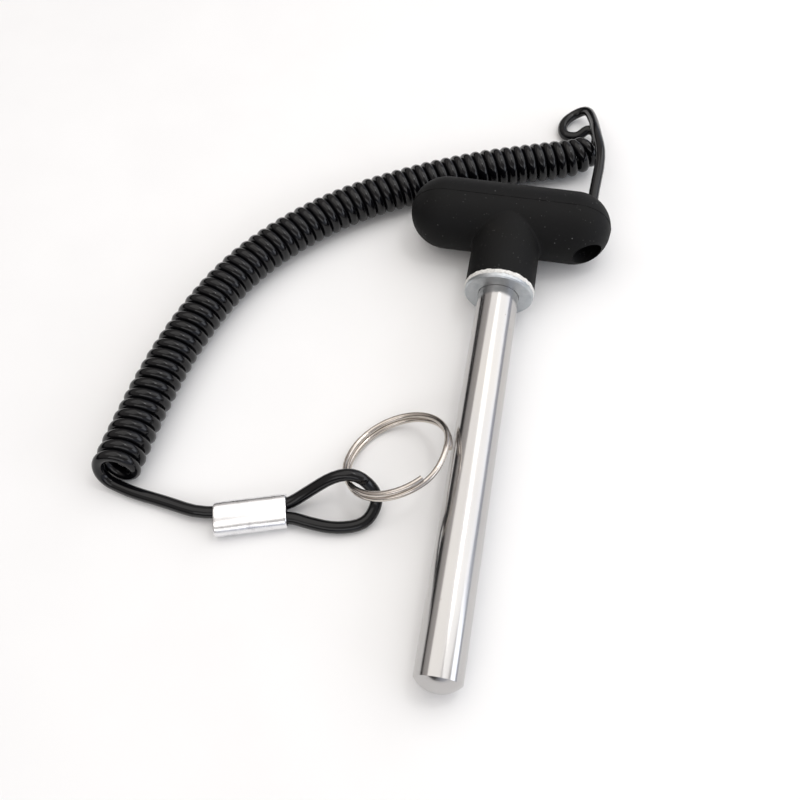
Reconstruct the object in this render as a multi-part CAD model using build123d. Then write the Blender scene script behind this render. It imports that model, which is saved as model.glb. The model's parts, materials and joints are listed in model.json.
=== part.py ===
from build123d import *
import os
from math import asin, cos, degrees, pi, radians, sin, tan

# T-handle magnetic hitch pin with a coiled lanyard, an eye and a split key ring, lying on a flat surface.
# Frame: origin where the pin's axis meets the magnet's outer face, +X along the handle, +Z up.
# The pin points towards -Y and slopes down by a small angle, because the handle is fatter than the pin.

os.makedirs("parts", exist_ok=True)

# Pin and handle, in their own straight frame: the pin along -Y, the handle along X (millimetres)
pin_radius = 6.35
pin_reach = 114.3  # cylindrical length outside the magnet
tip_dome = 2.9  # the domed end stands this far past the cylinder
bar_radius = 12.0
bar_length = 66.0
bar_offset = 30.5  # magnet face to the handle's axis
neck_radius = 10.9
neck_fillet = 1.0
magnet_radius = 10.8
magnet_thickness = 2.2
magnet_chamfer = 0.4
magnet_play = 0.1  # radial gap round the pin
glue_layer = 0.3
glue_lip = 0.08  # squeezed-out glue, past the magnet's rim
glue_creep = 0.5  # and forward over its side
washer_radius = 9.5
washer_thickness = 1.5
pin_end = 38.0  # the pin's hidden end, inside the handle
groove_depth = 0.6
groove_width = 1.2
groove_places = (9.0, 13.0, 17.0)
seat_groove_depth = 0.25
seat_groove_width = 0.5
crossbar_radius = 3.0
crossbar_length = 36.0

# Lanyard anchorage near one end of the handle
cord_radius = 1.75
anchor_x = 26.0
counterbore_radius = 4.5
counterbore_floor = 35.0
cord_hole_radius = 1.95
stop_radius = 3.2
stop_length = 7.0
stop_flare = 0.5
cord_stub = 0.3  # cord end showing past the stop

# Lanyard, in the part's frame
coil_radius = 6.8
sleeve_length = 20.0
sleeve_width = 10.0
sleeve_height = 5.4
sleeve_pitch = 3.6  # between the two cord bores
sleeve_centre = (-58.6, -79.5)
sleeve_heading = 17.0

# Split ring
ring_radius = 15.4  # to the wire's centre
ring_wire = 0.85
ring_layer = 0.86  # each turn's centre lies this far from the ring's middle plane
ring_cross = 50.0  # the crossover's angle
ring_gap_angle = 198.0  # where the crossover is, round the ring
ring_tilt = 30.5
ring_tilt_heading = 142.3  # compass direction in which the ring's normal leans
ring_lift = 9.47  # its centre above the surface

tilt = asin((bar_radius - pin_radius) / (pin_reach + bar_offset))
floor_z = bar_offset * sin(tilt) - bar_radius


def lay(shape):
    """Tip the straight pin and handle down to rest on the surface."""
    return Rot(degrees(tilt), 0, 0) * shape


def rod(radius, start, end, x=0.0):
    """A round rod along Y between two stations."""
    return Pos(x, (start + end) / 2, 0) * Rot(90, 0, 0) * Cylinder(radius, end - start)


def save(shape, node):
    shape.label = node
    export_step(shape, f"parts/{node}.step")


# ---- Pin -------------------------------------------------------------------------------------------

def make_pin():
    tip = -pin_reach - tip_dome
    side = Polyline(
        (0, pin_end),
        (pin_radius - 1, pin_end),
        (pin_radius, pin_end - 1),
        (pin_radius, -pin_reach),
    )
    cap_radius = (pin_radius**2 + tip_dome**2) / (2 * tip_dome)
    half = asin(pin_radius / cap_radius) / 2
    middle = (cap_radius * sin(half), tip + cap_radius * (1 - cos(half)))
    dome = ThreePointArc((pin_radius, -pin_reach), middle, (0, tip))
    axis = Line((0, tip), (0, pin_end))
    shank = revolve(make_face(side + dome + axis), Axis.Y)
    for place in groove_places:
        shank -= ring_cut(place, groove_width, groove_depth)
    shank -= ring_cut(seat_groove_width / 2, seat_groove_width, seat_groove_depth)
    return shank - make_crossbar()


def ring_cut(place, width, depth):
    """An annular groove round the pin."""
    outer = rod(pin_radius + 1, place - width / 2, place + width / 2)
    return outer - rod(pin_radius - depth, place - width, place + width)


def make_crossbar():
    bar = Cylinder(crossbar_radius, crossbar_length)
    return Pos(0, bar_offset, 0) * Rot(0, 90, 0) * chamfer(bar.edges(), 0.4)


# ---- Magnet and its seat ---------------------------------------------------------------------------

def make_magnet():
    disc = rod(magnet_radius, 0, magnet_thickness) - rod(pin_radius + magnet_play, -1, magnet_thickness + 1)
    front = disc.edges().group_by(Axis.Y)[0]
    return chamfer(front.sort_by(SortBy.RADIUS)[-1], magnet_chamfer)


def make_glue():
    back = magnet_thickness + glue_layer
    bead = rod(magnet_radius + glue_lip, magnet_thickness - glue_creep, back)
    bead -= rod(magnet_radius, -1, magnet_thickness)
    return bead - rod(pin_radius + magnet_play, -1, back + 1)


def make_washer():
    seat = magnet_thickness + glue_layer
    return rod(washer_radius, seat, seat + washer_thickness) - rod(pin_radius, 0, pin_end)


# ---- Handle ----------------------------------------------------------------------------------------

def make_grip(pin, crossbar, washer):
    straight = bar_length - 2 * bar_radius
    bar = Rot(0, 90, 0) * Cylinder(bar_radius, straight)
    for side in (-1, 1):
        bar += Pos(side * straight / 2, 0, 0) * Sphere(bar_radius)
    neck_start = magnet_thickness + glue_layer
    body = Pos(0, bar_offset, 0) * bar + rod(neck_radius, neck_start, bar_offset)
    body = soften_saddle(body)
    for core in (pin, crossbar, washer):
        body -= core
    body -= rod(cord_hole_radius, 0, bar_offset + bar_length, anchor_x)
    return body - rod(counterbore_radius, 0, counterbore_floor, anchor_x)


def soften_saddle(body):
    """Round the inside corner where the neck runs into the handle."""
    saddle = [
        edge
        for edge in body.edges()
        if edge.length > neck_radius
        and abs(edge.center().X) < bar_radius
        and magnet_thickness + 5 < edge.center().Y < bar_offset
    ]
    return fillet(saddle, neck_fillet)


# ---- Cord ------------------------------------------------------------------------------------------

def cord_route(name, points):
    """Straight runs joined by arcs, each as large as its two runs allow."""
    places = [Vector(*p) for p in points]
    radii = []
    for before, here, after in zip(places, places[1:], places[2:]):
        turn = radians((here - before).get_angle(after - here))
        shorter = min((here - before).length, (after - here).length)
        radii.append(0.45 * shorter / tan(turn / 2))
    print(name, "arc radii:", [round(r, 1) for r in radii])
    return FilletPolyline(*points, radius=radii)


def tube(name, points, radius):
    path = cord_route(name, points)
    section = Plane(origin=path @ 0, z_dir=path % 0) * Circle(radius)
    solid = sweep(section, path=path)
    print(name, "length", round(path.length, 1), "volume ratio",
          round(solid.volume / (pi * radius**2 * path.length), 4))
    return solid


# The hole's axis slopes with the pin, so the cord leaves the handle along it.
stub_y = counterbore_floor - stop_length - cord_stub
exit_y = 42.9
lead_points = [
    (anchor_x, stub_y * cos(tilt), stub_y * sin(tilt)),
    (anchor_x, exit_y * cos(tilt), exit_y * sin(tilt)),
    (28.0, 62.4, 3.7),
    (25.5, 75.0, 2.0),
    (24.3, 86.1, -2.2),
    (22.2, 94.9, -5.4),
    (18.0, 95.3, -8.2),
    (13.4, 90.3, -9.0),
    (14.0, 83.6, -9.0),
    (19.6, 82.2, -8.0),
    (22.6, 85.6, -6.2),
    (25.8, 84.2, -5.9),
    (26.6, 78.6, -6.8),
    (25.9, 73.2, -8.3),
]

coil_height = floor_z + coil_radius
coil_points = [
    (24.5, 73.2, coil_height),
    (20.8, 68.6, coil_height),
    (12.0, 65.2, coil_height),
    (-11.5, 57.5, coil_height),
    (-35.5, 46.0, coil_height),
    (-60.5, 30.0, coil_height),
    (-81.0, 7.0, coil_height),
    (-91.5, -16.0, coil_height),
    (-98.0, -46.5, coil_height),
    (-99.0, -75.5, coil_height),
]

# From the coil's end through the eye sleeve, round the eye and back into the sleeve
tail_points = [
    (-99.8, -76.9, -9.0),
    (-93.5, -78.3, -9.0),
    (-83.5, -79.4, -9.0),
    (-71.6, -81.6, -8.1),
    (-49.1, -74.7, -8.1),
    (-44.5, -71.5, -5.8),
    (-36.6, -67.4, 0.2),
    (-30.3, -66.3, 0.9),
    (-25.1, -68.1, -5.1),
    (-24.6, -71.2, -8.0),
    (-26.8, -76.6, -9.0),
    (-34.4, -79.1, -8.9),
    (-42.0, -78.9, -8.5),
    (-47.9, -78.1, -8.1),
    (-52.8, -79.6, -8.1),
]


def make_stop():
    """The crimped sleeve that keeps the cord's end from pulling through the handle."""
    start = counterbore_floor - stop_length
    sleeve = rod(stop_radius, start, counterbore_floor, anchor_x)
    sleeve = chamfer(sleeve.edges(), stop_flare)
    return sleeve - rod(cord_radius, 0, counterbore_floor + 1, anchor_x)


# ---- Eye sleeve ------------------------------------------------------------------------------------

def at_sleeve(shape):
    """Move a shape from the sleeve's own frame, long axis +X, to its place on the surface."""
    height = floor_z + sleeve_height / 2
    return Pos(sleeve_centre[0], sleeve_centre[1], height) * Rot(0, 0, sleeve_heading) * shape


def make_sleeve():
    outline = SlotOverall(sleeve_width, sleeve_height)
    body = extrude(Plane.YZ * outline, sleeve_length / 2, both=True)
    body = fillet(body.edges().group_by(Axis.X)[0] + body.edges().group_by(Axis.X)[-1], 0.4)
    for side in (-1, 1):
        body -= Pos(0, side * sleeve_pitch / 2, 0) * Rot(0, 90, 0) * Cylinder(cord_radius, sleeve_length + 2)
    return at_sleeve(body)


# ---- Split ring ------------------------------------------------------------------------------------

def make_ring():
    """Two flat turns of one wire, joined by a crossover, with two free ends beside it."""
    span = 360 - ring_cross
    wire = Plane.XZ * Pos(ring_radius, 0) * Circle(ring_wire)
    turn = revolve(wire, Axis.Z, span)
    lower = Rot(0, 0, ring_cross / 2) * Pos(0, 0, -ring_layer) * turn
    upper = Rot(0, 0, ring_cross / 2) * Pos(0, 0, ring_layer) * turn
    steps = 6
    places = []
    for step in range(steps + 1):
        share = step / steps
        turned = radians(ring_cross * (share - 0.5))
        rise = ring_layer * (2 * share**2 * (3 - 2 * share) - 1)
        places.append(Vector(ring_radius * cos(turned), ring_radius * sin(turned), rise))
    half = radians(ring_cross / 2)
    start_way = Vector(sin(half), cos(half), 0)
    finish_way = Vector(-sin(half), cos(half), 0)
    path = Spline(places, tangents=[start_way, finish_way])
    cross = sweep(Plane(origin=places[0], z_dir=start_way) * Circle(ring_wire), path=path)
    return Rot(0, 0, ring_gap_angle) * (lower + cross + upper)


def at_ring(shape):
    """Lean the ring, from flat at the origin, against the pin."""
    lean = Rot(0, 0, ring_tilt_heading) * Rot(0, ring_tilt, 0)
    return Pos(-21.1, -57.9, floor_z + ring_lift) * lean * shape


# ---- Build -----------------------------------------------------------------------------------------

pin = make_pin()
crossbar = make_crossbar()
washer = make_washer()
save(lay(pin), "pin_shank")
save(lay(crossbar), "anchor_crossbar")
save(lay(washer), "magnet_seat_washer")
save(lay(make_magnet()), "ring_magnet")
save(lay(make_glue()), "magnet_glue_bead")
save(lay(make_grip(pin, crossbar, washer)), "t_handle_grip")
save(lay(make_stop()), "cord_stop_sleeve")
save(tube("lanyard_lead", lead_points, cord_radius), "lanyard_lead")
save(tube("lanyard_coil", coil_points, coil_radius), "lanyard_coil")
save(tube("lanyard_tail", tail_points, cord_radius), "lanyard_tail")
save(make_sleeve(), "eye_sleeve")
save(at_ring(make_ring()), "split_ring")
print("tilt", round(degrees(tilt), 3), "surface at z", round(floor_z, 3))
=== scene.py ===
import json
import math

import bmesh
import bpy
from mathutils import Matrix, Vector, noise


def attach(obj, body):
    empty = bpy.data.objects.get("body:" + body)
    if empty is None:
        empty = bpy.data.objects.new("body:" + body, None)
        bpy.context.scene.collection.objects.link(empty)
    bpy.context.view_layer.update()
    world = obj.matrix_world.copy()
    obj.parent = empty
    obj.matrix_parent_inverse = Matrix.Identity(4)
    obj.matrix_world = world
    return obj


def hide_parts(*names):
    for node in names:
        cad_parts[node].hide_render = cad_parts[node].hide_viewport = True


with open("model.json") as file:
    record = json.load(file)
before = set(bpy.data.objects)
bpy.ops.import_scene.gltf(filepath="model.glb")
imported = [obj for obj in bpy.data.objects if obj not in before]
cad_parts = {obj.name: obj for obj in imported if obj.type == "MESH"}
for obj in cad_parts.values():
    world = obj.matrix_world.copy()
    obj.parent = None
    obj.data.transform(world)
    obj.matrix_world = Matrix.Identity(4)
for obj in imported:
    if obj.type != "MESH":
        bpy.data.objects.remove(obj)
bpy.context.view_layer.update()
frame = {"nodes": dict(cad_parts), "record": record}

BODY = "pin_and_lanyard"
MM = 0.001

# The pin slopes down from the handle by TILT, so handle pieces are laid by it.
BAR_RADIUS = 12.0 * MM
BAR_HALF = 21.0 * MM  # half of its straight stretch
BAR_OFFSET = 30.5 * MM  # magnet face to the handle's axis
PIN_RADIUS = 6.35 * MM
PIN_REACH = 114.3 * MM
TILT = math.asin((BAR_RADIUS - PIN_RADIUS) / (PIN_REACH + BAR_OFFSET))
FLOOR_Z = BAR_OFFSET * math.sin(TILT) - BAR_RADIUS
CORD_RADIUS = 1.75 * MM
LAY = Matrix.Rotation(TILT, 4, "X")


# ---- Node materials --------------------------------------------------------------------------------

def new_material(name, color, roughness, metallic=0.0):
    mat = bpy.data.materials.new(name)
    mat.use_nodes = True
    shader = mat.node_tree.nodes["Principled BSDF"]
    shader.inputs["Base Color"].default_value = (*color, 1)
    shader.inputs["Roughness"].default_value = roughness
    shader.inputs["Metallic"].default_value = metallic
    return mat, mat.node_tree, shader


def object_coords(tree):
    """The piece's own coordinates, in metres."""
    for node in tree.nodes:
        if node.bl_idname == "ShaderNodeTexCoord":
            return node.outputs["Object"]
    return tree.nodes.new("ShaderNodeTexCoord").outputs["Object"]


def noise_map(tree, scale, detail=3.0, rough=0.5, stretch=None):
    tex = tree.nodes.new("ShaderNodeTexNoise")
    tex.inputs["Scale"].default_value = scale
    tex.inputs["Detail"].default_value = detail
    tex.inputs["Roughness"].default_value = rough
    source = object_coords(tree)
    if stretch:
        mapping = tree.nodes.new("ShaderNodeMapping")
        mapping.inputs["Scale"].default_value = stretch
        tree.links.new(source, mapping.inputs["Vector"])
        source = mapping.outputs["Vector"]
    tree.links.new(source, tex.inputs["Vector"])
    return tex.outputs["Fac"]


def specks(tree, scale, size):
    """Small round spots: 1 inside a spot, 0 between them."""
    tex = tree.nodes.new("ShaderNodeTexVoronoi")
    tex.inputs["Scale"].default_value = scale
    tree.links.new(object_coords(tree), tex.inputs["Vector"])
    return ramp(tree, tex.outputs["Distance"], [(0.0, 1.0), (size, 1.0), (size * 1.5, 0.0)])


def ramp(tree, value, stops):
    """A ramp of greys, or of colours, from (position, grey or colour) stops."""
    node = tree.nodes.new("ShaderNodeValToRGB")
    elements = node.color_ramp.elements
    while len(elements) < len(stops):
        elements.new(0.5)
    for element, (place, shade) in zip(elements, stops):
        element.position = place
        rgb = (shade,) * 3 if isinstance(shade, (int, float)) else shade
        element.color = (*rgb, 1)
    tree.links.new(value, node.inputs["Fac"])
    return node.outputs["Color"]


def math_node(tree, operation, a, b):
    node = tree.nodes.new("ShaderNodeMath")
    node.operation = operation
    node.inputs[2].default_value = 0.5
    for socket, value in zip(node.inputs, (a, b)):
        if isinstance(value, (int, float)):
            socket.default_value = value
        else:
            tree.links.new(value, socket)
    return node.outputs[0]


def mix_color(tree, factor, a, b):
    node = tree.nodes.new("ShaderNodeMix")
    node.data_type = "RGBA"
    tree.links.new(factor, node.inputs["Factor"])
    for name, value in (("A", a), ("B", b)):
        socket = [s for s in node.inputs if s.name == name and s.type == "RGBA"][0]
        if isinstance(value, tuple):
            socket.default_value = (*value, 1)
        else:
            tree.links.new(value, socket)
    return [s for s in node.outputs if s.type == "RGBA"][0]


def bump(tree, shader, height, strength, distance):
    node = tree.nodes.new("ShaderNodeBump")
    node.inputs["Strength"].default_value = strength
    node.inputs["Distance"].default_value = distance
    tree.links.new(height, node.inputs["Height"])
    tree.links.new(node.outputs["Normal"], shader.inputs["Normal"])


def chrome_material():
    mat, tree, shader = new_material("pin_chrome", (0.84, 0.83, 0.82), 0.08, 1.0)
    streaks = noise_map(tree, 40, 4, 0.6, stretch=(6, 0.35, 6))
    patches = noise_map(tree, 14, 3, 0.6)
    tone = ramp(tree, patches, [
        (0.3, (0.55, 0.54, 0.53)),
        (0.55, (0.50, 0.49, 0.485)),
        (0.75, (0.53, 0.51, 0.485)),
    ])
    dots = specks(tree, 260, 0.035)
    keep = ramp(tree, noise_map(tree, 60, 1), [(0.52, 0.0), (0.6, 1.0)])
    dots = math_node(tree, "MULTIPLY", dots, keep)
    tree.links.new(mix_color(tree, dots, tone, (0.35, 0.27, 0.20)), shader.inputs["Base Color"])
    base = ramp(tree, streaks, [(0.35, 0.15), (0.7, 0.22)])
    rough = math_node(tree, "ADD", base, math_node(tree, "MULTIPLY", dots, 0.35))
    tree.links.new(rough, shader.inputs["Roughness"])
    bump(tree, shader, streaks, 0.02, 0.0002)
    return mat


def zinc_material():
    mat, tree, shader = new_material("magnet_zinc", (0.48, 0.51, 0.53), 0.35, 1.0)
    cloud = noise_map(tree, 160, 4, 0.6)
    grain = noise_map(tree, 1400, 3, 0.7)
    tone = ramp(tree, cloud, [
        (0.3, (0.42, 0.455, 0.475)),
        (0.5, (0.54, 0.56, 0.575)),
        (0.7, (0.45, 0.48, 0.50)),
    ])
    tree.links.new(tone, shader.inputs["Base Color"])
    tree.links.new(ramp(tree, grain, [(0.3, 0.30), (0.7, 0.50)]), shader.inputs["Roughness"])
    bump(tree, shader, grain, 0.25, 0.0001)
    return mat


def rubber_material():
    mat, tree, shader = new_material("grip_rubber", (0.005, 0.005, 0.005), 0.7)
    cloud = noise_map(tree, 90, 4, 0.6)
    grain = noise_map(tree, 2600, 3, 0.7)
    tone = ramp(tree, cloud, [
        (0.3, (0.003, 0.003, 0.0035)),
        (0.6, (0.005, 0.005, 0.005)),
        (0.8, (0.008, 0.0075, 0.007)),
    ])
    dust = specks(tree, 420, 0.07)
    keep = ramp(tree, noise_map(tree, 170, 2), [(0.54, 0.0), (0.62, 1.0)])
    dust = math_node(tree, "MULTIPLY", dust, keep)
    fine = specks(tree, 1150, 0.13)
    some = ramp(tree, noise_map(tree, 310, 2), [(0.55, 0.0), (0.64, 0.7)])
    dust = math_node(tree, "MAXIMUM", dust, math_node(tree, "MULTIPLY", fine, some))
    tree.links.new(mix_color(tree, dust, tone, (0.10, 0.10, 0.10)), shader.inputs["Base Color"])
    tree.links.new(ramp(tree, cloud, [(0.3, 0.58), (0.7, 0.72)]), shader.inputs["Roughness"])
    shader.inputs["Specular IOR Level"].default_value = 0.17
    bump(tree, shader, grain, 0.30, 0.00008)
    return mat


def cord_material():
    mat, tree, shader = new_material("cord_plastic", (0.006, 0.006, 0.007), 0.16)
    cloud = noise_map(tree, 120, 3, 0.6)
    fine = noise_map(tree, 900, 3, 0.6)
    tone = ramp(tree, cloud, [(0.3, (0.002, 0.002, 0.0025)), (0.7, (0.004, 0.004, 0.005))])
    tree.links.new(tone, shader.inputs["Base Color"])
    tree.links.new(ramp(tree, fine, [(0.3, 0.06), (0.7, 0.15)]), shader.inputs["Roughness"])
    shader.inputs["Specular IOR Level"].default_value = 0.35
    bump(tree, shader, fine, 0.10, 0.0001)
    return mat


def aluminium_material():
    mat, tree, shader = new_material("crimp_aluminium", (0.88, 0.88, 0.89), 0.3, 1.0)
    scratch = noise_map(tree, 220, 4, 0.7, stretch=(0.35, 3, 3))
    cloud = noise_map(tree, 240, 3, 0.6)
    tone = ramp(tree, cloud, [
        (0.35, (0.87, 0.87, 0.88)),
        (0.62, (0.80, 0.80, 0.81)),
        (0.74, (0.62, 0.62, 0.63)),
    ])
    tree.links.new(tone, shader.inputs["Base Color"])
    tree.links.new(ramp(tree, scratch, [(0.3, 0.20), (0.7, 0.34)]), shader.inputs["Roughness"])
    bump(tree, shader, scratch, 0.2, 0.0001)
    return mat


def nickel_material():
    mat, tree, shader = new_material("ring_nickel", (0.62, 0.57, 0.53), 0.16, 1.0)
    cloud = noise_map(tree, 150, 4, 0.6)
    draw = noise_map(tree, 700, 3, 0.6)
    tone = ramp(tree, cloud, [
        (0.3, (0.66, 0.62, 0.58)),
        (0.55, (0.56, 0.51, 0.46)),
        (0.75, (0.64, 0.60, 0.57)),
    ])
    tree.links.new(tone, shader.inputs["Base Color"])
    tree.links.new(ramp(tree, draw, [(0.3, 0.10), (0.7, 0.24)]), shader.inputs["Roughness"])
    bump(tree, shader, draw, 0.12, 0.0001)
    return mat


def glue_material():
    mat, tree, shader = new_material("glue", (0.62, 0.61, 0.57), 0.6)
    lumps = noise_map(tree, 900, 4, 0.7)
    tone = ramp(tree, lumps, [
        (0.3, (0.50, 0.50, 0.48)),
        (0.5, (0.76, 0.75, 0.72)),
        (0.7, (0.88, 0.87, 0.84)),
    ])
    tree.links.new(tone, shader.inputs["Base Color"])
    tree.links.new(ramp(tree, lumps, [(0.3, 0.45), (0.7, 0.75)]), shader.inputs["Roughness"])
    bump(tree, shader, lumps, 0.5, 0.0002)
    return mat


def seam_shade_material():
    # Painted shade: the flash line is coloured darker than the grip's rubber so that it reads as the thin
    # shadow line along the seam.
    mat, tree, shader = new_material("grip_seam_painted_shade", (0.002, 0.002, 0.002), 0.8)
    nap = noise_map(tree, 1800, 3, 0.7)
    tree.links.new(ramp(tree, nap, [(0.3, 0.001), (0.7, 0.004)]), shader.inputs["Base Color"])
    shader.inputs["Specular IOR Level"].default_value = 0.1
    bump(tree, shader, nap, 0.3, 0.0001)
    return mat


def black_steel_material():
    mat, tree, shader = new_material("crimp_black", (0.03, 0.03, 0.032), 0.4, 1.0)
    brushed = noise_map(tree, 500, 4, 0.6)
    tone = ramp(tree, brushed, [(0.3, (0.02, 0.02, 0.021)), (0.7, (0.06, 0.06, 0.062))])
    tree.links.new(tone, shader.inputs["Base Color"])
    tree.links.new(ramp(tree, brushed, [(0.3, 0.32), (0.7, 0.5)]), shader.inputs["Roughness"])
    bump(tree, shader, brushed, 0.2, 0.0001)
    return mat


def steel_material():
    mat, tree, shader = new_material("inner_steel", (0.52, 0.52, 0.53), 0.35, 1.0)
    brushed = noise_map(tree, 300, 4, 0.6, stretch=(0.3, 3, 3))
    tone = ramp(tree, brushed, [(0.3, (0.46, 0.46, 0.47)), (0.7, (0.58, 0.58, 0.59))])
    tree.links.new(tone, shader.inputs["Base Color"])
    tree.links.new(ramp(tree, brushed, [(0.3, 0.28), (0.7, 0.45)]), shader.inputs["Roughness"])
    bump(tree, shader, brushed, 0.2, 0.0001)
    return mat


def floor_material():
    mat, tree, shader = new_material("floor_paper", (0.90, 0.90, 0.90), 0.6)
    tone = ramp(tree, noise_map(tree, 30, 2), [(0.3, 0.89), (0.7, 0.91)])
    tree.links.new(tone, shader.inputs["Base Color"])
    return mat


MATERIALS = {
    "pin_chrome": chrome_material(),
    "magnet_zinc": zinc_material(),
    "grip_rubber": rubber_material(),
    "cord_plastic": cord_material(),
    "crimp_aluminium": aluminium_material(),
    "ring_nickel": nickel_material(),
    "glue": glue_material(),
    "inner_steel": steel_material(),
    "crimp_black": black_steel_material(),
}
for row in frame["record"]["subparts"]:
    node = frame["nodes"][row["node"]]
    for place in range(max(1, len(node.material_slots))):
        if not node.material_slots:
            node.data.materials.append(MATERIALS[row["material_slot"]])
        node.material_slots[place].material = MATERIALS[row["material_slot"]]


# ---- Cord ------------------------------------------------------------------------------------------

LEAD_POINTS = [
    (0.0260, 0.02768, 0.00108),
    (0.0260, 0.04287, 0.00167),
    (0.0280, 0.0624, 0.0037),
    (0.0255, 0.0750, 0.0020),
    (0.0243, 0.0861, -0.0022),
    (0.0222, 0.0949, -0.0054),
    (0.0180, 0.0953, -0.0082),
    (0.0134, 0.0903, -0.0090),
    (0.0140, 0.0836, -0.0090),
    (0.0196, 0.0822, -0.0080),
    (0.0226, 0.0856, -0.0062),
    (0.0258, 0.0842, -0.0059),
    (0.0266, 0.0786, -0.0068),
    (0.0259, 0.0732, -0.0083),
]
COIL_RADIUS = 6.8 * MM
COIL_HEIGHT = FLOOR_Z + COIL_RADIUS
COIL_POINTS = [
    (0.0245, 0.0732, COIL_HEIGHT),
    (0.0208, 0.0686, COIL_HEIGHT),
    (0.0120, 0.0652, COIL_HEIGHT),
    (-0.0115, 0.0575, COIL_HEIGHT),
    (-0.0355, 0.0460, COIL_HEIGHT),
    (-0.0605, 0.0300, COIL_HEIGHT),
    (-0.0810, 0.0070, COIL_HEIGHT),
    (-0.0915, -0.0160, COIL_HEIGHT),
    (-0.0980, -0.0465, COIL_HEIGHT),
    (-0.0990, -0.0755, COIL_HEIGHT),
]
TAIL_POINTS = [
    (-0.0998, -0.0769, -0.0090),
    (-0.0935, -0.0783, -0.0090),
    (-0.0835, -0.0794, -0.0090),
    (-0.0716, -0.0816, -0.0081),
    (-0.0550, -0.0765, -0.0081),
    (-0.0491, -0.0747, -0.0081),
    (-0.0445, -0.0715, -0.0058),
    (-0.0366, -0.0674, 0.0002),
    (-0.0303, -0.0663, 0.0009),
    (-0.0251, -0.0681, -0.0051),
    (-0.0246, -0.0712, -0.0080),
    (-0.0268, -0.0766, -0.0090),
    (-0.0344, -0.0791, -0.0089),
    (-0.0420, -0.0789, -0.0085),
    (-0.0479, -0.0781, -0.0081),
    (-0.0528, -0.0796, -0.0081),
]
COIL_TURNS = 59
TURN_RADIUS = 5.05 * MM
TURN_POINTS = 14
FIRST_ANGLE = math.radians(270)  # the cord enters the coil at the bottom
START_MARGIN = 1.75 * MM
END_MARGIN = 0.4 * MM
LEAN_TURNS = 6  # the last turns lean, their bottoms running ahead of their tops
LEAN = 1.5 * MM
TAPER_TURNS = 4  # the first turns are drawn tighter
TAPER = 0.20


def nurbs(name, points):
    """A smooth open curve with these control points."""
    curve = bpy.data.curves.new(name, "CURVE")
    curve.dimensions = "3D"
    spline = curve.splines.new("NURBS")
    spline.points.add(len(points) - 1)
    for point, place in zip(spline.points, points):
        point.co = (*place, 1)
    spline.order_u = 3
    spline.use_endpoint_u = True
    obj = bpy.data.objects.new(name, curve)
    bpy.context.scene.collection.objects.link(obj)
    return obj


def points_along(name, points, resolution):
    """Points read from the smooth curve through a route."""
    obj = nurbs(name, points)
    obj.data.splines[0].resolution_u = resolution
    mesh = bpy.data.meshes.new_from_object(obj)
    places = [v.co.copy() for v in mesh.vertices]
    curve = obj.data
    bpy.data.objects.remove(obj)
    bpy.data.curves.remove(curve)
    bpy.data.meshes.remove(mesh)
    return places


class Rail:
    """Places and directions by distance along a line of points."""

    def __init__(self, places):
        self.places = places
        self.marks = [0.0]
        for a, b in zip(places, places[1:]):
            self.marks.append(self.marks[-1] + (b - a).length)

    def at(self, distance):
        last = len(self.places) - 2
        index = next((i for i in range(last) if self.marks[i + 1] >= distance), last)
        a, b = self.places[index], self.places[index + 1]
        share = (distance - self.marks[index]) / (self.marks[index + 1] - self.marks[index])
        return a.lerp(b, share), (b - a).normalized()


def helix_points():
    """The coil's turns, a right-hand helix round its axis, as more points of the cord."""
    rail = Rail(points_along("coil_axis", COIL_POINTS, 24))
    length = rail.marks[-1] - START_MARGIN - END_MARGIN
    count = round(COIL_TURNS * TURN_POINTS)
    reach = TURN_RADIUS / math.cos(math.pi / TURN_POINTS)
    found = []
    for step in range(count + 1):
        share = step / count
        place, along = rail.at(START_MARGIN + share * length)
        up = Vector((0, 0, 1))
        side = up.cross(along).normalized()
        angle = FIRST_ANGLE + share * math.tau * COIL_TURNS
        wobble = 1 + 0.010 * noise.noise(Vector((share * 37, 4.2, 0.7)))
        wobble -= TAPER * max(0.0, 1 - share * COIL_TURNS / TAPER_TURNS) ** 2
        offset = (side * math.cos(angle) + up * math.sin(angle)) * reach * wobble
        leaning = max(0.0, 1 - (1 - share) * COIL_TURNS / LEAN_TURNS)
        offset -= along * (LEAN * leaning * (math.sin(angle) - 0.2))
        found.append(tuple(place + offset))
    return found


cord = nurbs("lanyard_cord", LEAD_POINTS[:-1] + helix_points() + TAIL_POINTS[1:])
cord.data.bevel_depth = CORD_RADIUS
cord.data.bevel_resolution = 5
cord.data.splines[0].resolution_u = 4
cord.data.use_fill_caps = True
cord.data.materials.append(MATERIALS["cord_plastic"])
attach(cord, BODY)
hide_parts("lanyard_lead", "lanyard_coil", "lanyard_tail")


# ---- Detail pieces ---------------------------------------------------------------------------------

def mesh_piece(name, rings, material, closed_rows=False, smooth_angle=40.0, place=None):
    """A piece skinned over rings of points; each ring is a closed loop, and rows may close too."""
    mesh = bpy.data.meshes.new(name)
    work = bmesh.new()
    rows = [[work.verts.new(point) for point in ring] for ring in rings]
    pairs = list(zip(rows, rows[1:]))
    if closed_rows:
        pairs.append((rows[-1], rows[0]))
    for row, after in pairs:
        count = len(row)
        for i in range(count):
            work.faces.new((row[i], row[(i + 1) % count], after[(i + 1) % count], after[i]))
    if not closed_rows:
        work.faces.new(rows[0][::-1])
        work.faces.new(rows[-1])
    bmesh.ops.recalc_face_normals(work, faces=work.faces)
    for face in work.faces:
        face.smooth = True
    for edge in work.edges:
        if len(edge.link_faces) == 2 and edge.calc_face_angle() > math.radians(smooth_angle):
            edge.smooth = False
    work.to_mesh(mesh)
    work.free()
    if place is not None:
        mesh.transform(place)
    obj = bpy.data.objects.new(name, mesh)
    bpy.context.scene.collection.objects.link(obj)
    mesh.materials.append(material)
    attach(obj, BODY)
    return obj


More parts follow.
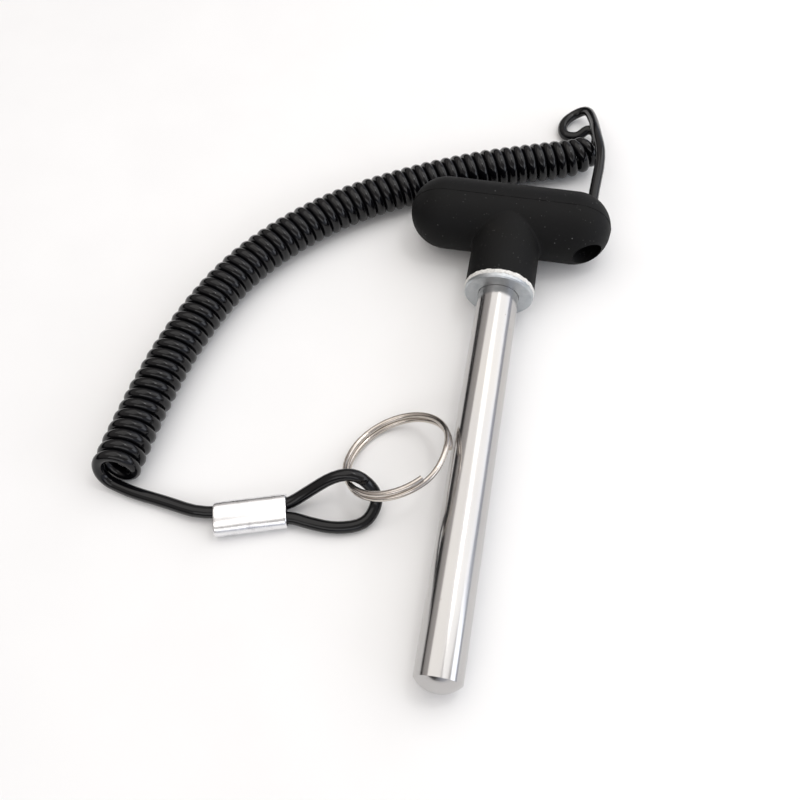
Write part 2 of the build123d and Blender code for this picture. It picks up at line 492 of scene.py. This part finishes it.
def make_parting_line():
    """A fine broken flash line round the handle, where its two mould halves met, in a darker rubber that
    paints the shade along it.
    """
    width, height, sunk = 0.20 * MM, 0.09 * MM, 0.05 * MM
    step = 0.4 * MM
    straight = 2 * BAR_HALF
    arc = math.pi * BAR_RADIUS
    count = round(2 * (straight + arc) / step)
    rings = []
    for i in range(count):
        run = i * 2 * (straight + arc) / count
        if run < straight:
            spot, normal = Vector((-BAR_HALF + run, 0, BAR_RADIUS)), Vector((0, 0, 1))
        elif run < straight + arc:
            turn = (run - straight) / BAR_RADIUS
            normal = Vector((math.sin(turn), 0, math.cos(turn)))
            spot = Vector((BAR_HALF, 0, 0)) + normal * BAR_RADIUS
        elif run < 2 * straight + arc:
            spot, normal = Vector((BAR_HALF - (run - straight - arc), 0, -BAR_RADIUS)), Vector((0, 0, -1))
        else:
            turn = (run - 2 * straight - arc) / BAR_RADIUS
            normal = Vector((-math.sin(turn), 0, -math.cos(turn)))
            spot = Vector((-BAR_HALF, 0, 0)) + normal * BAR_RADIUS
        broken = 0.5 + 0.9 * noise.noise(Vector((i * 0.13, 3.1, 8.2)))
        rise = height * max(0.0, min(1.0, 2.0 * broken)) if normal.z > -0.6 else -sunk
        across = Vector((0, width * (0.6 + 0.4 * max(0.0, broken)), 0))
        low = spot - normal * sunk
        rings.append([low - across, spot + normal * rise, low + across])
    place = LAY @ Matrix.Translation((0, BAR_OFFSET, 0))
    return mesh_piece("grip_parting_line", rings, seam_shade_material(), True, 60, place)


def make_glue_bead():
    """Adhesive squeezed out behind the magnet, lumpy on top and wiped thin underneath."""
    wiped_radius = 10.84  # how far it stands out where it was wiped off
    profile = [  # radius and place along the pin, millimetres
        (10.70, 1.25),
        (10.88, 1.38),
        (11.06, 1.75),
        (11.12, 2.20),
        (11.02, 2.55),
        (10.80, 2.70),
        (10.50, 2.30),
    ]
    rings = []
    count = 220
    for i in range(count):
        turn = math.tau * i / count
        around = Vector((math.sin(turn), 0, math.cos(turn)))
        free = 0.5 + 0.5 * max(-1.0, min(1.0, around.z * 1.6))
        ring = []
        for k, (radius, along) in enumerate(profile):
            seed = Vector((around.x * 5.0, around.z * 5.0, k * 0.35))
            lump = noise.noise(seed * 1.7) * 0.18 + noise.noise(seed * 6.1) * 0.13
            creep = noise.noise(seed * 2.3 + Vector((9, 9, 9))) * 0.26
            wiped = min(radius, wiped_radius)
            out = wiped + (radius - wiped + lump) * free
            ring.append(around * out * MM + Vector((0, (along + creep * (0.25 + free)) * MM, 0)))
        rings.append(ring)
    bead = mesh_piece("glue_bead", rings, MATERIALS["glue"], True, 60, LAY)
    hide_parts("magnet_glue_bead")
    return bead


SLEEVE_HALF = 10.0  # half its length, millimetres like the two below
SLEEVE_LOBE = 2.7
SLEEVE_SPREAD = 2.3  # each lobe's centre from the middle
SLEEVE_PLACE = (-0.0586, -0.0795, FLOOR_Z + SLEEVE_LOBE * MM)
SLEEVE_HEADING = math.radians(17.0)


def sleeve_section(swell, inset, dip):
    """Half-width and height of the double sleeve's outline: two lobes with a shallow waist."""
    lobe, spread, count = SLEEVE_LOBE - inset, SLEEVE_SPREAD, 20
    points = []
    for side in (1, -1):
        for i in range(count + 1):
            turn = -math.pi / 2 + math.pi * i / count
            points.append((side * (spread + lobe * math.cos(turn)), side * lobe * math.sin(turn)))
        for i in range(1, 12):
            across = side * spread * (1 - i / 6)
            waist = dip * math.cos(math.pi * across / (2 * spread)) ** 2
            points.append((across, side * (lobe - waist)))
    return [(y * swell, z * swell) for y, z in points]


def make_sleeve():
    """The crimped double sleeve: a thin oval tube, waisted between its two bores, with soft ends."""
    half = SLEEVE_HALF
    outside = [(-half, 0.93), (-half + 0.12, 0.97), (-half + 0.45, 1.0)]
    outside += [(-half + 1.0 + i * 1.5, 1.0) for i in range(13)]
    outside += [(half - 0.45, 1.0), (half - 0.12, 0.98), (half, 0.95)]
    rings = []
    for along, swell in outside:
        ring = []
        for y, z in sleeve_section(swell, 0.0, 0.30):
            seed = Vector((along * 0.16, y * 0.22, z * 0.3))
            press = 0.07 * noise.noise(seed) - 0.05
            top = max(0.0, z / SLEEVE_LOBE)
            side = 1 if y > 0 else -1
            lean = 0.14 * (along / half) * top * side * min(1.0, abs(y) / SLEEVE_SPREAD)
            grow = 1 + press / SLEEVE_LOBE * 0.6
            height = max(-SLEEVE_LOBE, min(SLEEVE_LOBE, z * grow + lean * 0.5 - 0.05 * top))
            ring.append(Vector((along, y * grow, height)) * MM)
        rings.append(ring)
    for along in (half - 0.05, half - 1.5, 0.0, -half + 1.5, -half + 0.05):
        rings.append([Vector((along, y, z)) * MM for y, z in sleeve_section(1.0, 0.75, 0.5)])
    place = Matrix.Translation(SLEEVE_PLACE) @ Matrix.Rotation(SLEEVE_HEADING, 4, "Z")
    material = MATERIALS["crimp_aluminium"]
    sleeve = mesh_piece("eye_sleeve_crimped", rings, material, True, 50, place)
    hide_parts("eye_sleeve")
    return sleeve


make_parting_line()
make_glue_bead()
sleeve = make_sleeve()


# ---- Studio ----------------------------------------------------------------------------------------

def make_floor():
    size = 3.0
    mesh = bpy.data.meshes.new("floor")
    corners = [(-size, -size), (size, -size), (size, size), (-size, size)]
    mesh.from_pydata([(x, y, FLOOR_Z) for x, y in corners], [], [(0, 1, 2, 3)])
    floor = bpy.data.objects.new("floor", mesh)
    bpy.context.scene.collection.objects.link(floor)
    mesh.materials.append(floor_material())


def area_light(name, place, target, size, power, color=(1, 1, 1)):
    light = bpy.data.lights.new(name, "AREA")
    light.shape = "RECTANGLE"
    light.size, light.size_y = size
    light.energy = power
    light.color = color
    obj = bpy.data.objects.new(name, light)
    obj.location = place
    obj.rotation_euler = (Vector(target) - Vector(place)).to_track_quat("-Z", "Y").to_euler()
    bpy.context.scene.collection.objects.link(obj)


def make_camera():
    right = Vector((0.985281, 0.170515, -0.012116))
    up = Vector((-0.135927, 0.824407, 0.549433))
    back = right.cross(up)
    camera = bpy.data.cameras.new("camera")
    camera.lens = 38.08
    camera.sensor_width = 36
    camera.shift_x = -0.0375
    camera.shift_y = -0.0875
    camera.clip_start = 0.01
    obj = bpy.data.objects.new("camera", camera)
    turn = Matrix((right, up, back)).transposed().to_4x4()
    obj.matrix_world = Matrix.Translation((0.007851, -0.155447, 0.215892)) @ turn
    bpy.context.scene.collection.objects.link(obj)
    bpy.context.scene.camera = obj


def make_world():
    """A soft grey room, darker low down on the left and cooler and brighter on the right."""
    world = bpy.data.worlds.new("studio")
    bpy.context.scene.world = world
    world.use_nodes = True
    tree = world.node_tree
    background = tree.nodes["Background"]
    split = tree.nodes.new("ShaderNodeSeparateXYZ")
    tree.links.new(tree.nodes.new("ShaderNodeTexCoord").outputs["Generated"], split.inputs[0])
    left = ramp(tree, split.outputs["Z"], [
        (0.0, 0.02),
        (0.16, 0.02),
        (0.26, (0.46, 0.43, 0.42)),
        (0.7, (0.58, 0.55, 0.53)),
        (1.0, (0.52, 0.50, 0.48)),
    ])
    right = ramp(tree, split.outputs["Z"], [
        (0.0, (0.45, 0.47, 0.52)),
        (0.3, (0.62, 0.65, 0.76)),
        (0.6, (0.50, 0.48, 0.47)),
        (1.0, (0.46, 0.44, 0.43)),
    ])
    side = ramp(tree, math_node(tree, "MULTIPLY_ADD", split.outputs["X"], 0.5), [(0.44, 0.0), (0.6, 1.0)])
    room = mix_color(tree, side, left, right)
    plain = tree.nodes.new("ShaderNodeLightPath").outputs["Is Camera Ray"]
    tree.links.new(mix_color(tree, plain, room, (0.86, 0.86, 0.86)), background.inputs["Color"])
    background.inputs["Strength"].default_value = 1.0


make_floor()
make_camera()
make_world()
centre = (-0.03, 0.0, 0.0)
area_light("key", (0.45, 0.35, 0.62), centre, (0.80, 0.95), 3.0)
area_light("window", (0.75, -0.15, 0.32), centre, (0.5, 0.35), 1.1, (0.90, 0.94, 1.0))
area_light("top", (-0.25, 0.15, 0.85), centre, (1.2, 0.9), 3.3, (1.0, 0.98, 0.955))
area_light("spark", (0.20, 0.10, 0.70), centre, (0.06, 0.10), 0.25)
area_light("front", (-0.05, -0.75, 0.45), centre, (0.8, 0.3), 1.0)
bpy.context.scene.view_settings.view_transform = "Standard"
